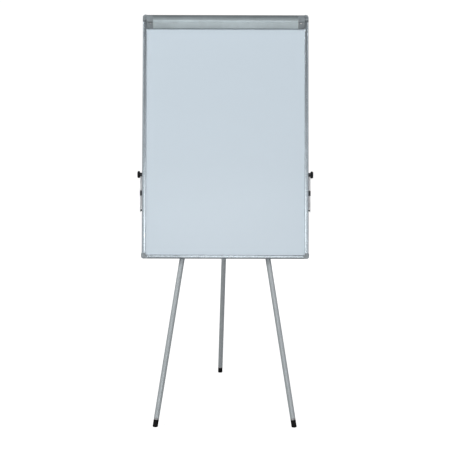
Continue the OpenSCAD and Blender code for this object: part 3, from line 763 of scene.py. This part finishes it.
def stud(x, z, y0, y1, r, flare=0.0, segments=48):
    """Round boss along Y with softened rims, wider at its root by the flare."""
    profile = [(0, y0), (r + flare, y0), (r + flare * 0.3, y0 + flare * 0.4), (r, y0 + flare),
               (r, y1 - 0.7), (r - 0.25, y1 - 0.2), (r - 0.8, y1), (0, y1)]
    return moved(lathe(profile, segments), shift(x, 0, z) @ TO_Y)


def bore(x, z, y0, y1, r):
    """Round cutter along Y."""
    return moved(cylinder(r, y0, y1, 32), shift(x, 0, z) @ TO_Y)


HEAD_PLATE = 2.5
REAR_PLATE_FRONT = 52.5
REAR_PLATE_BACK = 55
PIVOT_HOLE_R = 3.1
BLOCK_HALF_W = 8
BLOCK_HALF_H = 25
EAR_R = 12
EAR_INNER = 11.6
EAR_OUTER = 14.6
# Screws as radius and height of the head, radius of the shank
SMALL_SCREW = (3.6, 2.2, 1.8)
BLOCK_SCREW = (4, 2.5, 2)
SCREW_TIP_Y = 5.4
GUIDE_SCREW_INSET = 7


def add_head():
    """Two plates with the front legs' pivots between them and the rear leg's hinge."""
    low, high = local_box("head_front_plate", BOARD)
    plate_back = low.y + HEAD_PLATE
    pivots = [TO_BOARD @ Vector(JOINTS[f"{s}_leg_splay"]["pos_m"]) for s in SIDES]
    pivot_z = pivots[0].z
    boss_end = pivots[0].y - 11.5
    screws = [(x, pivot_z + z) for x in (-55, 55) for z in (-20, 34)]
    plate = rounded_plate(low, (high.x, plate_back, high.z), 7)
    bosses = [stud(p.x, p.z, low.y + 0.5, boss_end, 9, 2.0) for p in pivots]
    outline = [(x, pivot_z + z) for x, z in
               ((-BLOCK_HALF_W, -BLOCK_HALF_H), (BLOCK_HALF_W, -BLOCK_HALF_H),
                (BLOCK_HALF_W, BLOCK_HALF_H), (-BLOCK_HALF_W, BLOCK_HALF_H))]
    block = soften(extrusion(outline, low.y + 0.5, high.y, along_y), 1.5, 3)
    holes = [bore(p.x, p.z, low.y + 1, boss_end + 2, PIVOT_HOLE_R) for p in pivots]
    holes += [bore(x, z, low.y - 2, plate_back + 2, 2.2) for x, z in screws]
    piece(plate, "head_front_plate", BOARD, joins=bosses + [block], cutters=holes)
    add_rear_plate(pivots)
    add_head_fasteners(pivots, screws, plate_back)


def add_rear_plate(pivots):
    """Rear plate with two ears for the hinge pin and a stop for the opened leg."""
    pivot_z = pivots[0].z
    hinge = Vector(JOINTS["rear_leg_fold"]["pos_m"])
    root = -((TO_BOARD @ hinge).y - REAR_PLATE_BACK) - 1.2
    plate = rounded_plate((-52, REAR_PLATE_FRONT, pivot_z - 30),
                          (52, REAR_PLATE_BACK, pivot_z + 46), 8)
    to_board = TO_BOARD @ REAR_HINGE
    outline = arc(0, 0, EAR_R, -90, 90, 16) + [(root, EAR_R), (root, -EAR_R)]
    ears = []
    for sign in (-1, 1):
        x0, x1 = sorted((sign * EAR_INNER, sign * EAR_OUTER))
        ears.append(moved(soften(extrusion(outline, x0, x1, along_x), 0.7, 2), to_board))
    stop = rounded_box((-8, root, -5), (8, -15.4, 8), 1.0, 3)
    holes = [bore(p.x, p.z, REAR_PLATE_FRONT - 2, REAR_PLATE_BACK + 2, PIVOT_HOLE_R)
             for p in pivots]
    piece(plate, "head_rear_plate", BOARD, joins=ears + [moved(stop, to_board)], cutters=holes)


def add_head_fasteners(pivots, screws, plate_back):
    """Pivot bolts and washers, the rear hinge pin and the screws at the back."""
    bolts, sockets, washers = [], [], []
    for p in pivots:
        place = shift(p.x, REAR_PLATE_BACK, p.z) @ TO_Y
        bolts.append(moved(lathe(pan_head(5.5, 3.5, 3, 41), 48), place))
        sockets.append(moved(hex_recess(2.3, 3.5, 2), place))
        ring = [(3.05, 51.35), (7.4, 51.35), (8, 51.7), (8, 52.2), (7.6, REAR_PLATE_FRONT),
                (3.05, REAR_PLATE_FRONT)]
        washers.append(moved(lathe(ring, 48, closed=True), shift(p.x, 0, p.z) @ TO_Y))
    piece(merged(*bolts), "front_pivot_bolts", BOARD, cutters=sockets)
    piece(merged(*washers), "pivot_washers", BOARD)

    end = [(0, 14.0), (3, 14.0), (3, EAR_OUTER), (5, EAR_OUTER), (5, 15.8), (4.6, 16.6),
           (3.4, 17), (0, 17)]
    ends = [moved(lathe(end, 40), TO_X @ Matrix.Diagonal((1, 1, sign, 1))) for sign in (-1, 1)]
    shaft = moved(cylinder(3, -14.4, 14.4, 40), TO_X)
    piece(merged(shaft, *ends), "rear_hinge_pin", REAR_HINGE)

    heads, recesses = [], []
    bar = local_box("leg_guide_bar", BOARD)
    places = [(x, plate_back, z, *SMALL_SCREW, plate_back - SCREW_TIP_Y) for x, z in screws]
    places += [(x, bar[1].y, (bar[0].z + bar[1].z) / 2, *SMALL_SCREW, bar[1].y - SCREW_TIP_Y)
               for x in (bar[0].x + GUIDE_SCREW_INSET, bar[1].x - GUIDE_SCREW_INSET)]
    places += [(0, REAR_PLATE_BACK, pivots[0].z + z, *BLOCK_SCREW, 14.5) for z in (-15, 15)]
    for x, y, z, head, height, shank, length in places:
        place = shift(x, y, z) @ TO_Y
        heads.append(moved(lathe(pan_head(head, height, shank, length), 40), place))
        recesses += [moved(c, place) for c in cross_recess(head * 0.6, height * 1.5, 1.4)]
    piece(merged(*heads), "back_screws", BOARD, cutters=recesses)


LEG_Y = 40


def add_leg_guide():
    """Bar behind the front legs, held off the board by two blocks beside them."""
    low, high = local_box("leg_guide_bar", BOARD)
    mid_z = (low.z + high.z) / 2
    bar = rounded_plate(low, high, 6, 0.5)
    screws = (low.x + GUIDE_SCREW_INSET, high.x - GUIDE_SCREW_INSET)
    piece(bar, "leg_guide_bar", BOARD,
          cutters=[bore(x, mid_z, low.y - 2, high.y + 2, 1.9) for x in screws])
    blocks = []
    for side, sign in SIDES.items():
        to_board = TO_BOARD @ LEGS[side]
        beside_leg = BOARD @ Vector((sign * (high.x - 27), LEG_Y, mid_z))
        along = -(LEGS[side].inverted() @ beside_leg).z
        x0, x1 = sorted((sign * 11.35, sign * 25))
        y0, y1 = SHEET_BACK - LEG_Y, low.y - LEG_Y
        block = rounded_box((x0, y0, -along - 9), (x1, y1, -along + 9), 1.2, 3)
        blocks.append(moved(block, to_board))
    piece(merged(*blocks), "guide_spacers", BOARD)


# ---- legs ----

TUBE_R = 11
TUBE_WALL = 1.2
INNER_R = 9
LOCK_UP = 82
BUSH_UP = 31
FOOT_GROOVES = (22.6, 19.4)


def tube_profile(outer, wall, low, high, lip=0.35):
    """Closed section of a tube wall with rolled ends."""
    inner = outer - wall
    return [(inner, low + lip), (inner + lip, low), (outer - lip, low), (outer, low + lip),
            (outer, high - lip), (outer - lip, high), (inner + lip, high), (inner, high - lip)]


def leg_length(leg):
    """From the leg's pivot down its axis to the floor."""
    origin = LEGS[leg].translation
    up = (LEGS[leg].to_3x3() @ Vector((0, 0, 1))).normalized()
    return origin.z / up.z / MM


def add_leg(leg):
    """Outer tube with its screw boss, plug and bush, then the inner tube and its foot."""
    place = LEGS[leg]
    floor = -leg_length(leg)
    low, high = local_box(f"{leg}_leg_tube", place)
    tube = lathe(tube_profile(TUBE_R, TUBE_WALL, low.z, high.z), 72, closed=True)
    lock_z = floor + LOCK_UP
    boss = [(0, 9.95), (5.9, 9.2), (5.5, 10.4), (5.1, 11.4), (5, 12.2), (5, 14.1), (4.7, 14.5),
            (0, 14.5)]
    boss = moved(lathe(boss, 40), shift(0, 0, lock_z) @ TO_Y)
    piece(merged(tube, boss), f"{leg}_leg_tube", place)

    cap = high.z
    plug = [(0, cap - 20), (9.7, cap - 20), (9.75, cap), (10.8, cap), (TUBE_R, cap + 0.3),
            (TUBE_R, cap + 1.5), (10.6, cap + 2.3), (9.6, cap + 2.8), (7, cap + 3), (0, cap + 3)]
    piece(lathe(plug, 64), f"{leg}_leg_plug", place)

    ring_low, ring_high = floor + BUSH_UP, low.z
    bush = [(9.1, ring_low + 0.3), (9.4, ring_low), (10.5, ring_low), (TUBE_R, ring_low + 0.6),
            (TUBE_R, ring_high - 1.6), (10.75, ring_high - 1.2), (10.75, ring_high - 0.6),
            (TUBE_R, ring_high - 0.3), (10.9, ring_high), (9.75, ring_high + 0.1),
            (9.75, ring_high + 30), (9.1, ring_high + 30)]
    piece(lathe(bush, 72, closed=True), f"{leg}_leg_bush", place)

    low, high = local_box(f"{leg}_inner_tube", place)
    inner = lathe(tube_profile(INNER_R, TUBE_WALL, low.z, high.z), 64, closed=True)
    piece(inner, f"{leg}_inner_tube", place)
    piece(foot_shape(leg, floor), f"{leg}_foot", place)
    add_lock_screw(leg, lock_z)


def foot_shape(leg, floor):
    """Rubber ferrule with two grooves round it, cut level where it stands on the floor."""
    outside = [(9.05, 29.4), (9.4, 30), (10.2, 30), (10.8, 29.6), (TUBE_R, 28.8), (TUBE_R, 24)]
    for groove in FOOT_GROOVES:
        outside += [(TUBE_R, groove + 0.7), (10.55, groove + 0.35), (10.55, groove - 0.35),
                    (TUBE_R, groove - 0.7)]
    outside += [(TUBE_R, 4.6), (10.9, 2.4), (10.4, 0.4), (9.6, -1.2), (8.4, -2.6), (7, -3.6),
                (0, -3.6)]
    profile = [(r, floor + z) for r, z in outside[::-1]] + [(9.05, floor + 7.2), (0, floor + 7.2)]
    foot = lathe(profile, 72)
    level = LEGS[leg].inverted() @ Vector((0, 0, 0))
    up = (LEGS[leg].to_3x3().transposed() @ Vector((0, 0, 1))).normalized()
    cut_plane = bmesh.ops.bisect_plane(foot, geom=foot.verts[:] + foot.edges[:] + foot.faces[:],
                                       plane_co=level, plane_no=up, clear_inner=True)
    rim = [e for e in cut_plane["geom_cut"] if isinstance(e, bmesh.types.BMEdge)]
    bmesh.ops.contextual_create(foot, geom=rim)
    return foot


def add_lock_screw(leg, lock_z):
    """Thumb screw through the boss: radius, height and share of the flutes."""
    place = LEGS[leg] @ shift(0, 0, lock_z) @ TO_Y
    knob = [(0, 15.4, 0), (4.2, 15.4, 0), (5.2, 15.8, 0.3), (6.1, 16.6, 1), (6.5, 17.6, 1),
            (6.5, 22.4, 1), (6.2, 23.4, 1), (5.4, 24.1, 0.6), (4.2, 24.4, 0.1), (3.4, 24.4, 0),
            (3.0, 23.9, 0), (0, 23.9, 0)]
    shank = [(0, 9.4), (1.8, 9.4), (2.45, 10), (2.45, 15.6), (0, 15.6)]
    screw = merged(lathe(knob, 128, flutes=8, depth=1.3), lathe(shank, 32))
    piece(screw, f"{leg}_lock_screw", place)


# ---- side arms ----

EYE_R = 6
STRIP_HALF = 2.5


def add_arm(side):
    """Pull-out rod with a clip arm that hangs from it, its hub and its knob."""
    place = mirrored(side)
    low, high = local_box(f"{side}_clip_arm", place)
    rod_low, rod_high = local_box(f"{side}_arm_rod", place)
    y, z = (low.y + high.y) / 2, high.z - EYE_R
    on_rod = shift(0, y, z) @ TO_X
    eye_in, eye_out = low.x, high.x
    rod = [(0, rod_low.x), (4.6, rod_low.x), (5, rod_low.x + 0.4), (5, rod_low.x + 3.6),
           (4.6, rod_low.x + 4), (3, rod_low.x + 4), (3, rod_high.x - 0.6), (2.6, rod_high.x),
           (0, rod_high.x)]
    piece(moved(lathe(rod, 40), on_rod), f"{side}_arm_rod", place)
    add_clip_bar(side, place, y, z, eye_in, eye_out, on_rod)

    hub = [(6.02, eye_in + 0.3), (6.3, eye_in), (7.9, eye_in), (8.5, eye_in + 0.6),
           (8.5, eye_in + 2.4), (8.1, eye_in + 2.8), (8.1, eye_in + 3.4), (8.5, eye_in + 3.8),
           (8.5, eye_out - 0.6), (7.9, eye_out), (6.3, eye_out), (6.02, eye_out - 0.3)]
    slot = rounded_box((eye_in - 3, y - 2.52, z - 12), (eye_out + 3, y + 2.52, z), 0.2, 1)
    piece(moved(lathe(hub, 64, closed=True), on_rod), f"{side}_arm_hub", place, cutters=[slot])
    add_arm_knob(side, place, on_rod)


def add_clip_bar(side, place, y, z, eye_in, eye_out, on_rod):
    """Flat strip with an eye and a hook, its ribbed sleeve and its round tip."""
    low, high = local_box(f"{side}_arm_sleeve", place)
    tip_low, tip_high = local_box(f"{side}_arm_tip", place)
    bar_low = tip_low.z + 10.2
    hook_low = local_box(f"{side}_clip_arm", place)[0].z
    bar = [(eye_in + 0.2, y - 1.9), (eye_in + 0.8, y - STRIP_HALF),
           (eye_out - 0.6, y - STRIP_HALF), (eye_out, y - 1.9), (eye_out, y + 1.9),
           (eye_out - 0.6, y + STRIP_HALF), (eye_in + 0.8, y + STRIP_HALF),
           (eye_in + 0.2, y + 1.9)]
    strip = extrusion(bar, bar_low, z, along_z)
    eye = [(3.08, eye_in + 0.2), (5.6, eye_in + 0.2), (EYE_R, eye_in + 0.6), (EYE_R, eye_out - 0.4),
           (5.6, eye_out), (3.08, eye_out)]
    eye = moved(lathe(eye, 48, closed=True), on_rod)
    hook = [(0, hook_low), (0.4, hook_low + 0.2), (1.5, hook_low + 4), (1.5, bar_low + 1),
            (0, bar_low + 1)]
    hook = moved(lathe(hook, 24), shift(eye_out - 1.6, y, 0))
    flute = rounded_box(((eye_in + eye_out) / 2 - 1.3, y - 4, tip_high.z + 6),
                        ((eye_in + eye_out) / 2 + 1.3, y - 2.05, z - 12), 0.4, 2)
    piece(strip, f"{side}_clip_arm", place, joins=[eye, hook], cutters=[flute])

    sleeve = rounded_box(low, high, 0.9, 3)
    hollow = rounded_box((eye_in + 0.1, y - 2.6, low.z - 3),
                         (eye_out + 0.1, y + 2.6, high.z + 3), 0.2, 1)
    ribs = [rounded_box((low.x - 2, low.y - 2, low.z + 3.2 + 3.4 * i),
                        (high.x + 2, low.y + 0.45, low.z + 4.3 + 3.4 * i), 0.2, 1)
            for i in range(5)]
    piece(sleeve, f"{side}_arm_sleeve", place, cutters=[hollow] + ribs)

    tip_z = (tip_low.z + min(tip_high.z, tip_low.z + 8.4)) / 2
    ball = [(0, tip_low.x), (2.6, tip_low.x), (3.7, tip_low.x + 0.5), (4.2, tip_low.x + 1.4),
            (4.2, tip_high.x - 0.8), (3.8, tip_high.x), (0, tip_high.x)]
    piece(moved(lathe(ball, 48), shift(0, y, tip_z) @ TO_X), f"{side}_arm_tip", place)


def add_arm_knob(side, place, on_rod):
    """Fluted knob with a dished face: radius, depth and share of the flutes."""
    low, high = local_box(f"{side}_arm_knob", place)
    x0, x1 = low.x, high.x
    knob = [(3.1, x0, 0), (11.2, x0, 0), (12.6, x0 + 0.4, 0.2), (14.1, x0 + 1.5, 0.8),
            (14.8, x0 + 2.9, 1), (15, x0 + 4.4, 1), (15, x1 - 4.2, 1), (14.7, x1 - 2.7, 1),
            (13.9, x1 - 1.4, 0.9), (12.7, x1 - 0.5, 0.4), (11.4, x1 - 0.1, 0.05),
            (10.4, x1 - 0.2, 0), (9.8, x1 - 0.8, 0), (8.6, x1 - 1.0, 0), (6.4, x1 - 0.5, 0),
            (3.2, x1 - 0.15, 0), (0, x1 - 0.1, 0), (0, x0 + 6.5, 0), (3.1, x0 + 6.5, 0)]
    piece(moved(lathe(knob, 192, flutes=16, depth=1.5, closed=True), on_rod),
          f"{side}_arm_knob", place)


# ---- small mouldings that keep the CAD shape ----

KEPT_SOFT = ["pad_pin_rail", "pad_pin_left", "pad_pin_right", "rod_guides", "rod_bushes",
             "clamp_hinge_pins"]
KEPT_BEVEL = 0.4 * MM
KEPT_WELD = 0.02 * MM


def soften_kept_nodes():
    """Rounds the edges of CAD nodes that keep their own shape."""
    for name in KEPT_SOFT:
        obj = frame["nodes"][name]
        weld = obj.modifiers.new("weld", "WELD")
        weld.merge_threshold = KEPT_WELD
        bevel = obj.modifiers.new("bevel", "BEVEL")
        bevel.width = KEPT_BEVEL
        bevel.segments = 2
        bevel.limit_method = "ANGLE"
        bevel.angle_limit = math.radians(50)
        bevel.use_clamp_overlap = True


add_rails()
add_corners()
add_clamp_bar()
add_clamp_caps()
add_grip_strip()
add_springs()
add_head()
add_leg_guide()
for leg_name in LEGS:
    add_leg(leg_name)
for side_name in SIDES:
    add_arm(side_name)
soften_kept_nodes()


# ---- camera, light and floor ----

CAMERA_BACK = 4500
CAMERA_UP = 1381
CAMERA_PITCH = 6.8
CAMERA_ROLL = 0.15
CAMERA_LENS = 86.95
CAMERA_SHIFT = -0.0004


def add_camera():
    data = bpy.data.cameras.new("camera")
    data.lens = CAMERA_LENS
    data.sensor_width = 36
    data.shift_x = CAMERA_SHIFT
    data.clip_end = 100
    camera = bpy.data.objects.new("camera", data)
    bpy.context.scene.collection.objects.link(camera)
    board_front = (BOARD @ Vector((0, 0, 0))).y
    camera.location = (0, board_front - CAMERA_BACK * MM, CAMERA_UP * MM)
    camera.rotation_mode = "XYZ"
    camera.rotation_euler = (math.radians(90 - CAMERA_PITCH), 0, 0)
    camera.rotation_euler = (camera.rotation_euler.to_matrix()
                             @ Matrix.Rotation(math.radians(CAMERA_ROLL), 3, "Z")).to_euler()
    bpy.context.scene.camera = camera


# Each light's place, the height it is aimed at on the middle line, its size and its power
LIGHTS = {
    "key": ((-4.3, -3.2, 4.4), 1.1, (1.6, 1.6), 175),
    "fill": ((4.3, -3.2, 4.4), 1.1, (1.6, 1.6), 105),
    "glow": ((0, -5.2, 1.85), 0.9, (1.2, 0.6), 6),
    "bounce": ((0, -3.6, 0.25), 1.2, (2.4, 0.4), 7),
    "rear": ((1.6, 4.6, 3.0), 1.1, (1.6, 1.6), 60),
}


def area_light(name, place, aim_height, size, power):
    data = bpy.data.lights.new(name, "AREA")
    data.shape = "RECTANGLE"
    data.size, data.size_y = size
    data.energy = power
    light = bpy.data.objects.new(name, data)
    bpy.context.scene.collection.objects.link(light)
    light.location = place
    aim = Vector((0, 0, aim_height)) - Vector(place)
    light.rotation_euler = aim.to_track_quat("-Z", "Y").to_euler()


# Brightness of the room by the sine of the height above the horizon
ROOM_STOPS = [(-0.2, 0.4), (0.0, 1.0), (0.2, 0.95), (0.36, 0.26), (0.62, 0.16), (1.0, 0.2)]
ROOM_SIDES = 0.45
BACKDROP = 1.05


def add_world():
    """A bright band round the horizon under a dim ceiling, in front of a white backdrop."""
    world = bpy.data.worlds.new("studio")
    bpy.context.scene.world = world
    world.use_nodes = True
    tree = world.node_tree
    background = tree.nodes["Background"]
    coordinates = tree.nodes.new("ShaderNodeTexCoord")
    split = tree.nodes.new("ShaderNodeSeparateXYZ")
    height = tree.nodes.new("ShaderNodeMapRange")
    height.inputs["From Min"].default_value = -1
    ramp = tree.nodes.new("ShaderNodeValToRGB")
    tree.links.new(coordinates.outputs["Generated"], split.inputs["Vector"])
    tree.links.new(split.outputs["Z"], height.inputs["Value"])
    tree.links.new(height.outputs["Result"], ramp.inputs["Fac"])
    stops = ramp.color_ramp.elements
    stops.remove(stops[1])
    for i, (z, value) in enumerate(ROOM_STOPS):
        stop = stops[0] if i == 0 else stops.new((z + 1) / 2)
        stop.position = (z + 1) / 2
        stop.color = (value, value, value * 1.02, 1)
    backdrop = tree.nodes.new("ShaderNodeBackground")
    backdrop.inputs["Color"].default_value = (BACKDROP, BACKDROP, BACKDROP, 1)
    seen = tree.nodes.new("ShaderNodeLightPath")
    choose = tree.nodes.new("ShaderNodeMixShader")
    facing = tree.nodes.new("ShaderNodeMapRange")
    facing.inputs["From Min"].default_value = 0.2
    facing.inputs["From Max"].default_value = -0.8
    facing.inputs["To Min"].default_value = ROOM_SIDES
    tree.links.new(split.outputs["Y"], facing.inputs["Value"])
    tree.links.new(facing.outputs["Result"], background.inputs["Strength"])
    tree.links.new(ramp.outputs["Color"], background.inputs["Color"])
    tree.links.new(seen.outputs["Is Camera Ray"], choose.inputs["Fac"])
    tree.links.new(background.outputs["Background"], choose.inputs[1])
    tree.links.new(backdrop.outputs["Background"], choose.inputs[2])
    tree.links.new(choose.outputs["Shader"], tree.nodes["World Output"].inputs["Surface"])


FLOOR_RADIUS = 400
FLOOR_LIFT_NEAR = 0.80
FLOOR_LIFT_FAR = 0.95


def add_floor():
    """White floor disc: a little light of its own keeps it white out to the horizon."""
    bm = bmesh.new()
    bmesh.ops.create_circle(bm, cap_ends=True, segments=96, radius=FLOOR_RADIUS)
    mesh = bpy.data.meshes.new("floor")
    bm.to_mesh(mesh)
    bm.free()
    floor = bpy.data.objects.new("floor", mesh)
    bpy.context.scene.collection.objects.link(floor)
    s = Shader("pale_floor")
    clouds = s.noise(s.place(), 1.5, 3.0)
    s.colour(s.between(s.spread(clouds, 0.0, 1.0), (0.45, 0.45, 0.45), (0.47, 0.47, 0.47)))
    s.fixed(Roughness=0.9)
    s.bsdf.inputs["Emission Color"].default_value = (1, 1, 1, 1)
    distance = s.node("ShaderNodeVectorMath", operation="LENGTH")
    s.link(s.place(), distance.inputs[0])
    lift = s.spread(distance.outputs["Value"], FLOOR_LIFT_NEAR, FLOOR_LIFT_FAR, 1.0, 5.0)
    seen = s.node("ShaderNodeMath", operation="MULTIPLY")
    s.link(s.node("ShaderNodeLightPath").outputs["Is Camera Ray"], seen.inputs[0])
    s.link(lift, seen.inputs[1])
    s.link(seen.outputs["Value"], s.bsdf.inputs["Emission Strength"])
    mesh.materials.append(s.material)


def add_studio():
    bpy.context.scene.view_settings.view_transform = "Standard"
    add_camera()
    add_world()
    add_floor()
    for name, settings in LIGHTS.items():
        area_light(name, *settings)


add_studio()
